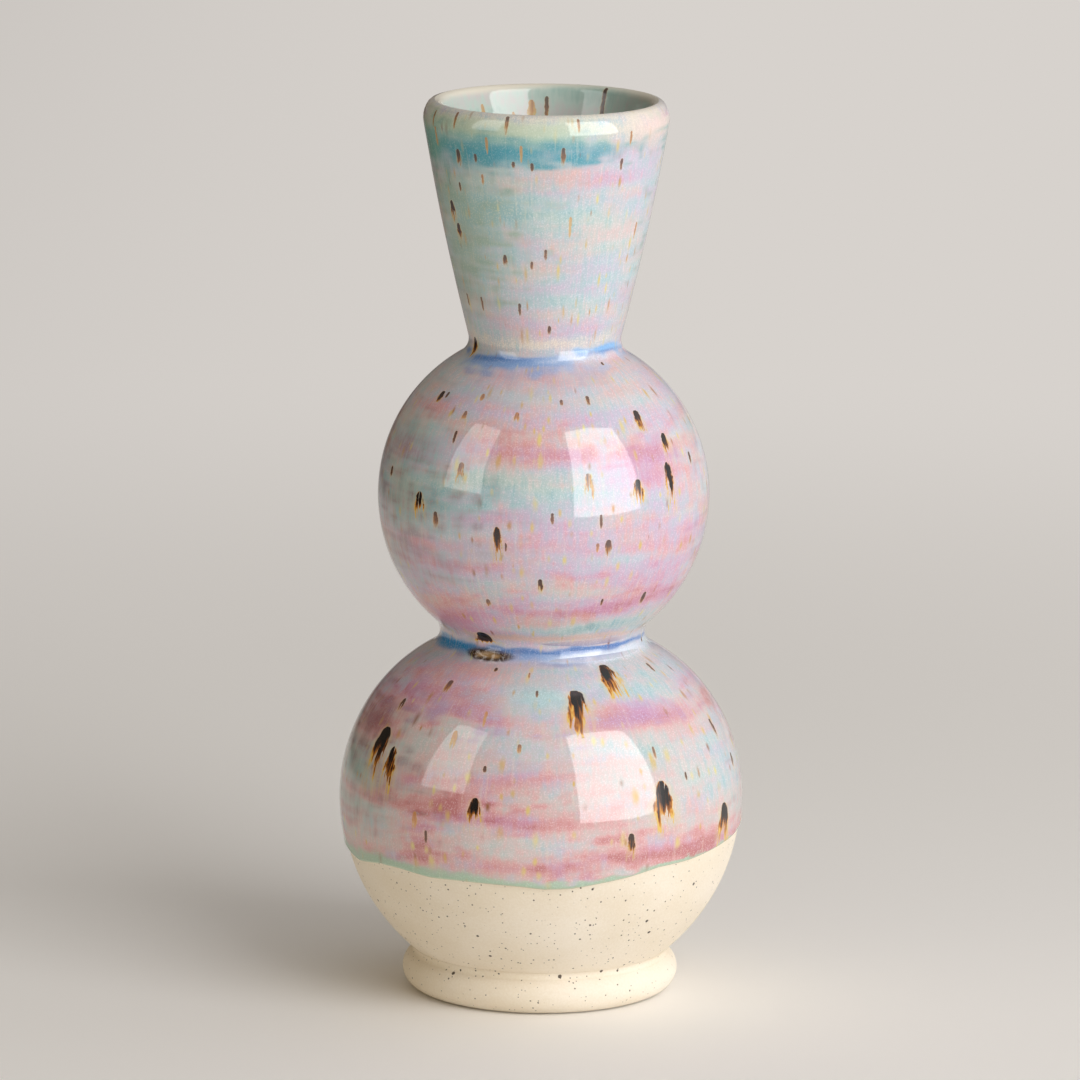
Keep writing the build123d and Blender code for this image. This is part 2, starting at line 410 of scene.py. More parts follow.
# Brush streaks: bearing, height, half width in degrees, half height in mm, push to pink (+) or aqua (-)
STREAKS = [
    (-36, 184, 34, 9, -0.24), (18, 190.2, 24, 3.2, 0.14), (-22, 178, 20, 3, 0.06),
    (0, 176, 170, 20, -0.12), (2, 168, 28, 4, 0.14), (16, 162, 30, 2.4, -0.16), (0, 157, 60, 3.4, 0.14),
    (-60, 165, 26, 14, -0.12), (-50, 135.5, 24, 4, 0.12), (-56, 133, 24, 3.6, -0.22),
    (-12, 137, 30, 4, 0.08), (-4, 130, 26, 3.8, 0.32), (42, 128.5, 18, 5.5, 0.40),
    (-5, 122.6, 28, 4, -0.34), (-52, 118, 24, 8, -0.36), (35, 111, 50, 6.5, 0.14),
    (-50, 108.5, 20, 2.6, 0.28), (-30, 103.5, 24, 2.2, 0.24), (45, 100, 26, 2.6, 0.14),
    (38, 94, 40, 2.8, 0.40), (-42, 89.5, 34, 4, 0.30), (28, 88.8, 40, 1.9, -0.46),
    (-40, 73.5, 34, 4.5, 0.38), (-68, 65.5, 14, 4.5, 0.50), (-1, 74, 16, 3.4, -0.40),
    (45, 75, 28, 3, -0.26), (34, 69.5, 42, 3, 0.38), (-16, 70.5, 14, 1.8, 0.18),
    (-3, 64, 22, 3.4, -0.18), (56, 57, 26, 7, -0.10), (-74, 55, 16, 4, -0.30), (-6, 57, 30, 2.2, 0.22),
    (-64, 50.5, 26, 2, 0.30), (-30, 50, 18, 4.2, 0.38), (-2, 48.6, 28, 2.4, 0.34),
    (-66, 47, 26, 1.8, -0.28), (10, 43.5, 28, 2.6, -0.12), (46, 39.6, 34, 3.8, 0.6),
    (-12, 38.4, 36, 2.4, 0.28), (-37, 41, 6, 6, 0.26),
]

# The dark taupe and sage for the left side are partly the glaze's own darker colour and partly painted
# shade where the left gets little light
LEFT_SHADE_TAUPE = "8a7c7d"
LEFT_SHADE_SAGE = "788c82"
TEAL = "3a97ad"
SEA_GREEN = "6aa597"
GLAZE_GREEN = "93c0b4"
GREEN_GREY = "a3c0b2"
PALE_GREEN = "c6d3bf"
CREAM = "e3dccb"
PINK_CREAM = "e3cbc5"
PEACH = "dcb9a8"
SALMON = "d3a59f"
POOL_BLUE = "7d9fd0"
POOL_DEEP = "4a78b8"
POOL_SKY = "7db2e4"
POOL_ICE = "d2dbe9"
CYAN_BLUE = "2585bf"
BLUE_GREY = "aebcc8"
LILAC_BLUE = "b9b7cc"
LAVENDER = "b9bcd2"
PURPLE = "bd98c2"
AQUA = "b0d4d8"
CRIMSON = "96505f"
FRINGE_GREEN = "a6c2ab"
FRINGE_PALE = "d0d6bd"
SCAB_BROWN = "3c2612"
SCAB_BUFF = "a9895e"

# Washes of one colour: bearing, height, half width in degrees, half height in mm, colour, strength
WASHES = [
    # The taupe and sage washes darken the left of the bulbs and neck: partly the glaze's own colour, partly
    # painted shade for the dim left side
    (-64, 129, 36, 8, LEFT_SHADE_TAUPE, 0.42), (-56, 116, 32, 7, LEFT_SHADE_TAUPE, 0.4), (-70, 104, 38, 8, LEFT_SHADE_TAUPE, 0.45),
    (-74, 67, 32, 7, LEFT_SHADE_TAUPE, 0.38), (-64, 56, 32, 7, LEFT_SHADE_TAUPE, 0.42), (-74, 45, 36, 6, LEFT_SHADE_TAUPE, 0.4),
    (-68, 188, 34, 8, LEFT_SHADE_SAGE, 0.42), (-56, 176, 36, 7, LEFT_SHADE_SAGE, 0.4), (-70, 163, 38, 8, LEFT_SHADE_SAGE, 0.48),
    (-42, 184, 40, 8, GREEN_GREY, 0.45), (-52, 171, 36, 8, GREEN_GREY, 0.4),
    (-20, 201.6, 75, 3, PALE_GREEN, 1.1), (62, 200.6, 34, 4.5, PINK_CREAM, 0.8),
    (0, 205, 300, 1.3, CREAM, 0.5), (-24, 199.2, 60, 2.2, GLAZE_GREEN, 0.6),
    (-32, 196.6, 60, 2.7, TEAL, 0.88), (-46, 194.2, 34, 3, TEAL, 0.4), (-6, 194.4, 24, 2, TEAL, 0.35),
    (22, 197.2, 22, 1.9, TEAL, 0.55), (-74, 196, 20, 4.6, SEA_GREEN, 0.75),
    (0, 151.9, 80, 1.9, CREAM, 0.6), (-6, 145, 46, 2.2, SALMON, 0.55), (62, 146, 30, 3, PEACH, 0.35),
    (-30, 147.7, 42, 1.8, POOL_BLUE, 1.25), (-36, 148.3, 34, 0.6, POOL_DEEP, 0.9),
    (8, 148, 22, 1.1, POOL_BLUE, 1), (30, 148.6, 26, 1.6, POOL_ICE, 0.6),
    (54, 150.3, 26, 0.9, POOL_SKY, 1.2), (50, 149.4, 26, 0.4, POOL_DEEP, 0.6),
    (-22, 141.3, 38, 1.7, BLUE_GREY, 0.5), (-24, 107.5, 22, 3, LILAC_BLUE, 0.45),
    (8, 86, 66, 1.1, PEACH, 0.85), (38, 81.4, 56, 1.8, POOL_ICE, 0.95),
    (-62, 82, 32, 1.7, CYAN_BLUE, 1.2), (-10, 81.6, 22, 1.3, POOL_BLUE, 1),
    (-4, 82.6, 40, 0.5, POOL_DEEP, 0.9), (44, 83.2, 44, 0.5, POOL_DEEP, 1.1),
    (10, 80.2, 14, 0.4, POOL_DEEP, 0.5), (-28, 78.6, 32, 2, SALMON, 0.7), (68, 79, 20, 2, PEACH, 0.4),
    (36, 69.5, 36, 2.6, PURPLE, 0.5), (-3, 64, 20, 3.2, LAVENDER, 0.4),
    (-68, 65.5, 12, 4, CRIMSON, 0.45), (-32, 71, 26, 3, PURPLE, 0.45), (0, 74.6, 17, 3, AQUA, 0.6),
    (42, 128.5, 16, 4, PURPLE, 0.35),
]

# The green fringe above the dip line, wider on the left, and its pale lip
FRINGE_WIDTH = 2.4
FRINGE_TILT = 0.6
FRINGE_FEATHER = 0.5
FRINGE_LEAST = 0.5
FRINGE_STRENGTH = 0.85
FRINGE_LIP = 0.5
FRINGE_LIP_STRENGTH = 0.8
FRINGE_FALL = 1.3
SCAB_BUFF_STRENGTH = 0.9

# How strongly noise moves streaks and washes up and down
STREAK_DRIFT = 1.8
WASH_DRIFT = 0.8

# Iron spots that show from the front: bearing and height of the head, half width and length in mm,
# and iron from 0 (yellow) through brown to 1 (black)
IRON_SPOTS = [
    (-59, 183, 1.1, 5.5, 1), (-56, 178, 1, 4.6, 1), (-47, 195.6, 0.9, 4, 0.7),
    (-24, 172.2, 0.8, 2.8, 0.65), (-8, 171.2, 0.5, 2, 0.55), (0, 174, 0.55, 2.6, 0.55),
    (-17, 161.2, 0.5, 3, 0.6), (3, 156, 0.6, 2.3, 0.65), (39, 194.4, 0.6, 2.8, 0.6),
    (-62, 161.8, 0.55, 3, 0.6), (-46, 161.8, 0.5, 3.4, 0.55), (13, 181.6, 0.55, 5, 0.12),
    (59, 178.8, 0.5, 4, 0.3), (-65, 150.8, 1.3, 5, 1), (43, 147.2, 0.6, 1.2, 0.7),
    (-33, 190.8, 0.5, 2.6, 0.3), (-49, 188.2, 0.5, 2.2, 0.6), (-48, 204.2, 0.6, 4, 0.45),
    (-19, 204.3, 0.7, 4.4, 0.5), (15, 204, 0.5, 3.2, 0.4), (-66, 203.6, 0.5, 4, 0.4),
    (-64, 200, 0.6, 4.5, 0.2), (-29, 199.5, 0.5, 4, 0.2), (-12, 198, 0.5, 4, 0.15),
    (8, 197.5, 0.7, 4.2, 0.5), (-16, 194.2, 0.6, 1.6, 0.6), (-7, 194, 0.6, 2, 0.6),
    (-36, 195.4, 0.5, 2.2, 0.6), (43, 200.6, 0.5, 3.4, 0.35), (-56, 140.2, 1.1, 3.2, 0.9),
    (-36, 137.4, 0.9, 3, 0.4), (-12, 138, 0.9, 2.6, 0.35), (21, 141.3, 0.7, 2.6, 0.65),
    (43, 137.2, 1.2, 5.4, 0.95), (53, 131.6, 1.3, 7, 1), (50, 125.4, 1.4, 11, 1),
    (35, 122.6, 1.5, 5.6, 1), (-31, 126.6, 1.1, 5, 0.5), (-48, 118.4, 1.6, 6.4, 1),
    (-40, 115.2, 0.9, 3.8, 0.6), (-16, 113, 1.2, 8, 0.95), (3, 117, 0.6, 2.6, 0.55),
    (20, 116.4, 0.5, 3.2, 0.6), (23, 110.2, 0.9, 4, 0.6), (19, 109.8, 0.6, 2.2, 0.35),
    (-1, 101.4, 0.8, 3.6, 0.9), (-22, 95.8, 0.8, 2.2, 0.5), (44, 96.4, 0.8, 3.8, 0.8),
    (24, 96.2, 0.5, 2, 0.8), (-68, 122.8, 0.8, 2.6, 0.8), (66, 126.8, 0.7, 3, 0.8),
    (16, 125, 1.2, 6, 0.45), (-37, 133.4, 0.6, 3, 0.7), (-13, 110, 0.5, 2, 0.65),
    (-52, 140.6, 0.6, 1.8, 0.65), (8, 140.8, 0.6, 1.6, 0.5), (-31, 141.2, 0.8, 2, 0.35),
    (-33, 84.9, 3, 4, 1), (74, 82.4, 0.6, 1.2, 0.7), (13, 74, 2.8, 12.5, 1), (32, 78.6, 2.3, 10.5, 1),
    (-58, 62.6, 3, 14.5, 1), (-51, 60, 1.9, 11, 1), (37, 53.6, 3, 12, 1), (64, 45.4, 2.6, 10, 1),
    (-19, 52.2, 1.6, 7.6, 1), (26, 44.4, 1.1, 5.8, 0.9), (-17, 60, 0.65, 1.6, 0.65),
    (37, 63, 0.6, 3, 0.45), (-7, 64.8, 0.7, 2.4, 0.35), (-58, 70.4, 0.9, 3.4, 0.75),
    (-41, 75.6, 1, 3.6, 0.55), (70, 65, 0.8, 5, 0.75), (76, 56.4, 0.9, 4.2, 0.8),
    (47, 56.6, 0.5, 2, 0.65), (-34, 44.4, 0.6, 3, 0.7), (-38, 48, 0.9, 4, 0.2),
    (-23, 79, 0.65, 1.4, 0.75), (-6, 78.6, 0.4, 2, 0.35), (59, 78.2, 0.6, 3, 0.6),
    (-20, 71, 0.6, 4, 0.15), (-29, 66.4, 0.9, 4.4, 0.15), (-2, 75.4, 0.5, 2, 0.6),
]

# Iron spots on the sides and back are strewn with a fixed seed
STREWN_SEED = 7
STREWN_COUNT = 75
STREWN_FROM = 88
STREWN_HEIGHTS = (44, 198)
STREWN_IRON = (0.2, 0.5, 0.65, 1)
STREWN_HALF_WIDTHS = (0.5, 0.9)
STREWN_SLENDERNESS = (2.6, 5.2)

# Drips inside the neck, with the same values as the iron spots
INSIDE_SPOTS = [
    (146, 204.4, 0.8, 17, 0.8), (-171, 200.6, 1.2, 8, 0.2), (180, 201.8, 0.7, 9, 0.5),
    (-140, 200.6, 0.8, 8, 0.15), (-160, 198.6, 0.6, 4, 0.15), (120, 199, 0.6, 5, 0.3),
    (60, 203, 0.6, 6, 0.4), (-80, 202, 0.6, 5, 0.3),
]

# A face carries a spot's values within this margin, in half widths, plus a face's own reach in mm
SPOT_MARGIN = 2.0
FACE_REACH = 1.4
FAR_FROM_SPOTS = 50.0

# Each spot has noise of its own, and wider spots have more legs
SEED_STEP = 0.37
SEED_SPREAD = 40
LEGLESS_HALF_WIDTH = 0.4
FEWEST_LEGS = 0.2


def tint(code):
    """A colour of six hexadecimal digits as linear light."""
    levels = [int(code[start:start + 2], 16) / 255 for start in (0, 2, 4)]
    return tuple(level / 12.92 if level < 0.04045 else ((level + 0.055) / 1.055) ** 2.4 for level in levels)


def keep_values(piece, name, kind, domain, values):
    """Stores values on a piece's mesh under a name that its finish reads."""
    stored = piece.data.attributes.new(name, kind, domain)
    field = {"FLOAT": "value", "FLOAT_VECTOR": "vector", "FLOAT_COLOR": "color"}[kind]
    stored.data.foreach_set(field, np.ascontiguousarray(values, dtype=np.float32).ravel())


def risen_along(outline, heights):
    """How far up an outline some heights lie, in mm along it from its top, so none is above 0."""
    lengths = [0.0]
    for start, end in zip(outline, outline[1:]):
        lengths.append(lengths[-1] - (end - start).length)
    return np.interp(heights, [point.y for point in outline][::-1], lengths[::-1])


def lay_slope(piece, outline):
    """Keeps each place as if the piece were a straight tube, so that patterns can run down its slopes."""
    bearings, _, heights = read_places(piece)
    turned = np.radians(bearings)
    across = [TUBE_RADIUS * np.sin(turned), -TUBE_RADIUS * np.cos(turned)]
    places = np.column_stack([*across, risen_along(outline, heights)])
    keep_values(piece, "slope", "FLOAT_VECTOR", "POINT", places)


def lay_streaks(piece):
    bearings, radii, heights = read_places(piece)
    drift = STREAK_DRIFT * wander(bearings, radii, heights, wide=18, tall=8, seed=21)
    feather = wander(bearings, radii, heights, wide=11, tall=2.4, seed=27)
    feather += wander(bearings, radii, heights, wide=4, tall=1.4, seed=29)
    tone = np.zeros(len(bearings))
    for *place, push in STREAKS:
        tone += push * soft_patch(bearings, heights + drift, feather, *place)
    keep_values(piece, "tone", "FLOAT", "POINT", tone)


def lay_washes(piece):
    bearings, radii, heights = read_places(piece)
    drift = WASH_DRIFT * wander(bearings, radii, heights, wide=9, tall=9, seed=31)
    feather = wander(bearings, radii, heights, wide=3, tall=3, seed=37)
    feather += wander(bearings, radii, heights, wide=9, tall=1.2, seed=39)
    colours = np.tile(tint(BLUE_GREY), (len(bearings), 1))
    strengths = np.zeros(len(bearings))

    def lay(amounts, code):
        nonlocal colours, strengths
        covered = amounts + strengths * (1 - amounts)
        share = (amounts / np.maximum(covered, 1e-6))[:, None]
        colours = colours * (1 - share) + np.array(tint(code)) * share
        strengths = covered

    for *place, code, strength in WASHES:
        lay(np.minimum(strength * soft_patch(bearings, heights + drift, feather, *place), 1), code)
    above = above_dip_line(bearings, radii, heights)
    lower = heights < lower_bulb_centre.y
    tilt = FRINGE_TILT * np.sin(np.radians(bearings))
    wide = np.maximum(FRINGE_WIDTH * (1 - tilt + FRINGE_FEATHER * feather), FRINGE_LEAST)
    for reach, strength, code in (
        (wide, FRINGE_STRENGTH, FRINGE_GREEN), (FRINGE_LIP, FRINGE_LIP_STRENGTH, FRINGE_PALE),
    ):
        lay(np.where(lower, strength * soft_step(FRINGE_FALL - above / reach), 0), code)
    bearing, height, half_bearing, half_height = SCAB
    buff = dab(bearings, heights, bearing, height, half_bearing / 2, half_height / 2)
    lay(dab(bearings, heights, *SCAB), SCAB_BROWN)
    lay(SCAB_BUFF_STRENGTH * buff, SCAB_BUFF)
    keep_values(piece, "wash", "FLOAT_COLOR", "POINT", np.column_stack([colours, strengths]))


def strewn_spots():
    draw = np.random.default_rng(STREWN_SEED)
    spots = []
    for _ in range(STREWN_COUNT):
        bearing = draw.uniform(STREWN_FROM, 360 - STREWN_FROM)
        height = draw.uniform(*STREWN_HEIGHTS)
        iron = draw.choice(STREWN_IRON)
        half_width = draw.uniform(*STREWN_HALF_WIDTHS) + iron * draw.uniform(0, 1) ** 3
        length = half_width * draw.uniform(*STREWN_SLENDERNESS)
        spots.append((bearing, height, half_width, length, iron))
    return spots


def lay_iron(piece, spots, outline):
    """Gives each face near a spot its place in it: across and up in half widths, and the spot's length."""
    bearings, radii, heights = read_places(piece)
    risen = risen_along(outline, heights)
    corners = np.empty(len(piece.data.loops), dtype=np.int32)
    piece.data.loops.foreach_get("vertex_index", corners)
    shaded_sides = np.empty(len(piece.data.polygons), dtype=np.int32)
    piece.data.polygons.foreach_get("loop_total", shaded_sides)
    first_corners = np.concatenate([[0], np.cumsum(shaded_sides)[:-1]])
    faces = np.repeat(np.arange(len(shaded_sides)), shaded_sides)

    nearest = np.full(len(shaded_sides), FAR_FROM_SPOTS)
    place = np.full((len(corners), 3), FAR_FROM_SPOTS)
    kind = np.zeros((len(corners), 3))
    for number, (bearing, height, half_width, length, iron) in enumerate(spots):
        across = np.radians(swing(bearings, bearing, 360)) * radii / half_width
        up = (risen - risen_along(outline, height)) / half_width
        reach = length / half_width - 1
        apart = np.maximum(np.abs(across), np.maximum(up, -up - reach))
        face_apart = np.maximum.reduceat(apart[corners], first_corners)
        taken = face_apart < np.minimum(nearest, SPOT_MARGIN + FACE_REACH / half_width)
        nearest = np.where(taken, face_apart, nearest)
        chosen = taken[faces]
        place[chosen] = np.column_stack([across, up, np.full_like(up, reach)])[corners[chosen]]
        legs = min(max(half_width - LEGLESS_HALF_WIDTH, FEWEST_LEGS), 1)
        kind[chosen] = (number * SEED_STEP % 1, iron, legs)
    keep_values(piece, "iron_place", "FLOAT_VECTOR", "CORNER", place)
    keep_values(piece, "iron_kind", "FLOAT_VECTOR", "CORNER", kind)


# Finishes

class Wire:
    """A shader socket in a Python expression: each operator adds a Math node."""

    def __init__(self, finish, socket):
        self.finish = finish
        self.socket = socket

    def math(self, operation, *values):
        return self.finish.node("Math", {"operation": operation}, dict(enumerate(values)))[0]

    def __add__(self, other):
        return self.math("ADD", self, other)

    def __radd__(self, other):
        return self.math("ADD", other, self)

    def __sub__(self, other):
        return self.math("SUBTRACT", self, other)

    def __rsub__(self, other):
        return self.math("SUBTRACT", other, self)

    def __mul__(self, other):
        return self.math("MULTIPLY", self, other)

    def __rmul__(self, other):
        return self.math("MULTIPLY", other, self)

    def __truediv__(self, other):
        return self.math("DIVIDE", self, other)

    def __neg__(self):
        return self.math("MULTIPLY", self, -1)

    def __abs__(self):
        return self.math("ABSOLUTE", self)

    def __pow__(self, other):
        return self.math("POWER", self, other)

    def at_least(self, least):
        return self.math("MAXIMUM", self, least)

    def at_most(self, most):
        return self.math("MINIMUM", self, most)


class Finish:
    """A material, or the world around, and the nodes that it is mixed from."""

    def __init__(self, owner, shader="Principled BSDF"):
        self.owner = owner
        self.owner.use_nodes = True
        self.tree = owner.node_tree
        self.surface = self.tree.nodes[shader]

    def connect(self, socket, value):
        if isinstance(value, Wire):
            self.tree.links.new(value.socket, socket)
        else:
            socket.default_value = value

    def node(self, kind, settings, values):
        """Adds a node: its settings first, then the values or links of its sockets by place or name."""
        made = self.tree.nodes.new("ShaderNode" + kind)
        for name, setting in settings.items():
            if name == "stops":
                self.set_stops(made.color_ramp.elements, setting)
            else:
                setattr(made, name, setting)
        sockets = [socket for socket in made.inputs if socket.enabled]
        named = {socket.name: socket for socket in reversed(sockets)}
        for key, value in values.items():
            self.connect(sockets[key] if isinstance(key, int) else named[key], value)
        return [Wire(self, socket) for socket in made.outputs if socket.enabled]

    def set_stops(self, elements, stops):
        while len(elements) < len(stops):
            elements.new(1)
        for element, (position, code) in zip(elements, stops):
            element.position = position
            element.color = (*tint(code), 1)

    def place(self):
        """The place on the piece, in mm."""
        point = self.node("TexCoord", {}, {})[3]
        return self.node("VectorMath", {"operation": "SCALE"}, {0: point, "Scale": 1 / MM})[0]

    def parts(self, vector):
        return self.node("SeparateXYZ", {}, {0: vector})

    def joined(self, x, y, z):
        return self.node("CombineXYZ", {}, {0: x, 1: y, 2: z})[0]

    def spread(self, vector, sizes):
        """A vector divided by a size along each axis."""
        scale = tuple(1 / size for size in sizes)
        return self.node("VectorMath", {"operation": "MULTIPLY"}, {0: vector, 1: scale})[0]

    def clouds(self, vector, sizes, detail=2.0, roughness=0.5):
        """Noise about 0, mostly within a quarter, with blots of the given sizes in mm."""
        values = {"Vector": self.spread(vector, sizes), "Scale": 1}
        values.update({"Detail": detail, "Roughness": roughness})
        return self.node("TexNoise", {}, values)[0] - 0.5

    def grains(self, vector, sizes):
        """Scattered points: the distance to the nearest one and a random colour for it."""
        values = {"Vector": self.spread(vector, sizes), "Scale": 1}
        distance, colour, _ = self.node("TexVoronoi", {}, values)
        return distance, self.node("SeparateColor", {}, {0: colour})

    def fade(self, value, start, end):
        """0 at the start, 1 at the end, smooth between."""
        values = {"Value": value, "From Min": start, "From Max": end}
        return self.node("MapRange", {"interpolation_type": "SMOOTHSTEP"}, values)[0]

    def blend(self, under, over, amount):
        values = {"Factor": amount, "A": self.colour(under), "B": self.colour(over)}
        return self.node("Mix", {"data_type": "RGBA"}, values)[0]

    def shade(self, colour, strength):
        """A colour made lighter or darker by a factor."""
        return self.node("VectorMath", {"operation": "SCALE"}, {0: colour, "Scale": strength})[0]

    def colour(self, value):
        return (*tint(value), 1) if isinstance(value, str) else value

    def ramp(self, value, stops):
        return self.node("ValToRGB", {"stops": stops}, {0: value})[0]

    def stored(self, name):
        """A value kept on the mesh, as colour, vector, number and alpha."""
        return self.node("Attribute", {"attribute_name": name}, {})

    def relief(self, height):
        """A normal from heights in mm."""
        return self.node("Bump", {}, {"Strength": 1, "Distance": MM, "Height": height})[0]

    def cover(self, values):
        for name, value in values.items():
            self.connect(self.surface.inputs[name], self.colour(value))
        return self.owner


COOL_TONES = [
    (0.0, "97bec6"), (0.22, "abc7ce"), (0.4, "bbc0ce"), (0.55, "c3b3ca"), (0.7, "cba3bd"),
    (0.86, "c991ae"), (1.0, "bc7b97"),
]
WARM_TONES = [
    (0.0, "a4c0bc"), (0.22, "b9c9c6"), (0.4, "c8c3c2"), (0.55, "d0b6b5"), (0.7, "d4a5a5"),
    (0.86, "ce9394"), (1.0, "be7c7e"),
]
FLECK_TONES = [(0.0, "ddd48c"), (0.5, "d6b964"), (0.8, "bd8742"), (1.0, "7d4a3c")]
IRON_TONES = [(0.0, "dcb864"), (0.15, "cf8d34"), (0.35, "96581f"), (0.55, "4b2b19"), (0.78, "13100f")]
IRON_HALO = "dac795"
MAROON = "56291f"
TRICKLE = "ece2cc"
FROST = "efe9ee"
LINING_TONES = [(0.1, "a6c4bb"), (0.4, "c3d4cb"), (0.65, "d0cbc8"), (0.9, "d4b9c0")]
STONEWARE_PALE = "f0e7d8"
STONEWARE_DEEP = "e6dac5"
SLIP_PALE = "eee5d5"
SLIP_DEEP = "e3d6bf"
SPECK_BROWN = "2e1c12"

GLAZE_INDEX = 1.7
COAT_ROUGHNESS = 0.05
LINING_ROUGHNESS = 0.06
IRON_ROUGHNESS = 0.12
CLAY_ROUGHNESS = 0.72

# An iron spot's shape, in half widths and in shares of its run
HEAD_HEIGHT = 0.9
HEAD_WIDTH = 0.68
SPREAD_BELOW = 0.4
RUN_END = 1.04
LEGS_START = 0.12

# Sizes of the patterns in glaze and clay, in mm along x, along y and up
FLOW_SIZES = (60, 60, 30)
BRUSH_SIZES = (32, 32, 6)
FIBRE_SIZES = (12, 12, 2.6)
WARMTH_SIZES = (22, 22, 7)
MOTTLE_SIZES = (4, 4, 5)
RIVULET_SIZES = (1, 1, 5)
TRICKLE_SIZES = (0.8, 0.8, 8)
GRAIN_SIZES = (0.32, 0.32, 0.32)
SKIN_SIZES = (2.6, 2.6, 2.6)
PORE_SIZES = (0.6, 0.6, 0.6)
SHORT_FLECKS = (2.4, 2.4, 5)
LONG_FLECKS = (3.4, 3.4, 8)
FLECK_EDGE_SIZES = (0.5, 0.5, 1.6)
LINING_CLOUD_SIZES = (26, 26, 9)
LINING_RIVULET_SIZES = (1, 1, 9)
CLAY_CLOUD_SIZES = (24, 24, 14)
SAND_SIZES = (0.5, 0.5, 0.5)
TOOTH_SIZES = (0.18, 0.18, 0.18)
FLECK_SHARE = 0.5

# Heights in mm: the coat turns warmer between the first two, the lining cream between the last two
WARM_FROM = 78
WARM_BELOW = 62
CREAM_FROM = 203.2
CREAM_ABOVE = 205

# Dark specks in the clay: spacing, least and most radius in mm, and the share of places without one
SPECKS = ((3.2, 0.14, 0.42, 0.3), (1.2, 0.08, 0.2, 0.25))
SPECK_SOFT_OUTSIDE = 0.09
SPECK_SOFT_INSIDE = 0.03


def iron(finish):
    """Iron spots, dark heads with ragged amber legs: how much body and halo shows, the body's colour."""
    across, up, reach = finish.parts(finish.stored("iron_place")[1])
    seed, strength, legs = finish.parts(finish.stored("iron_kind")[1])
    wobble_place = finish.joined(across * 0.8, up * 0.5, seed * SEED_SPREAD)
    wobble = finish.clouds(wobble_place, (1, 1, 1), 3, 0.6)
    hair_place = finish.joined(across * 2.6 + wobble * 1.4, up * 0.22, seed * SEED_SPREAD + 7)
    hair = finish.clouds(hair_place, (1, 1, 1), 2, 0.6) * legs
    run = (-up).at_least(0) / reach
    crown = (1 - (up.at_least(0) / HEAD_HEIGHT) ** 2).at_least(0.01) ** 0.5
    tail = (1 - run ** 2 * (1 - legs)).at_least(0.02) ** 0.5
    width = crown * tail * (finish.fade(run, -0.05, 0.4) * legs * SPREAD_BELOW + HEAD_WIDTH)
    trunk = 1 - abs(across) / width + wobble * 1.3
    strand = hair * 5.4 + 0.8 - (run - LEGS_START).at_least(0) * (legs * 0.9 + 0.6)
    inside = trunk.at_most(strand).at_most((RUN_END - run) * 3).at_most((HEAD_HEIGHT - up) * 2)
    body = finish.fade(inside, legs * 0.1 - 0.1, 0.34 - legs * 0.18) * (strength * 0.35 + 0.65)
    halo = finish.fade(inside, -0.7, 0) * strength
    depth = trunk.at_most(0.5) * 1.3 + hair * 3.4 + wobble * 1.1 + 0.36 - run * (legs * 1.4 + 0.3)
    colour = finish.ramp(depth * strength, IRON_TONES)
    colour = finish.blend(colour, MAROON, (1 - legs) * finish.fade(strength, 0.3, 0.6) * 0.75)
    return body, halo * 0.35, colour


def with_iron(finish, colour):
    """A glaze colour with its iron spots on it, and how much of them shows."""
    body, halo, body_colour = iron(finish)
    return finish.blend(finish.blend(colour, IRON_HALO, halo), body_colour, body), body


def flecks(finish, slope, colour, sizes, share, most):
    """Thin flecks of yellow to brown that run down, at most one in each cell, in a share of the cells."""
    distance, (chance, hue, width) = finish.grains(slope, sizes)
    ragged = finish.clouds(slope, FLECK_EDGE_SIZES) * 0.2
    core = finish.fade(distance + ragged, 0.2 + width * 0.18, 0.0)
    shown = core * finish.fade(chance, 1 - share, 1.04 - share)
    return finish.blend(colour, finish.ramp(hue, FLECK_TONES), shown * most)


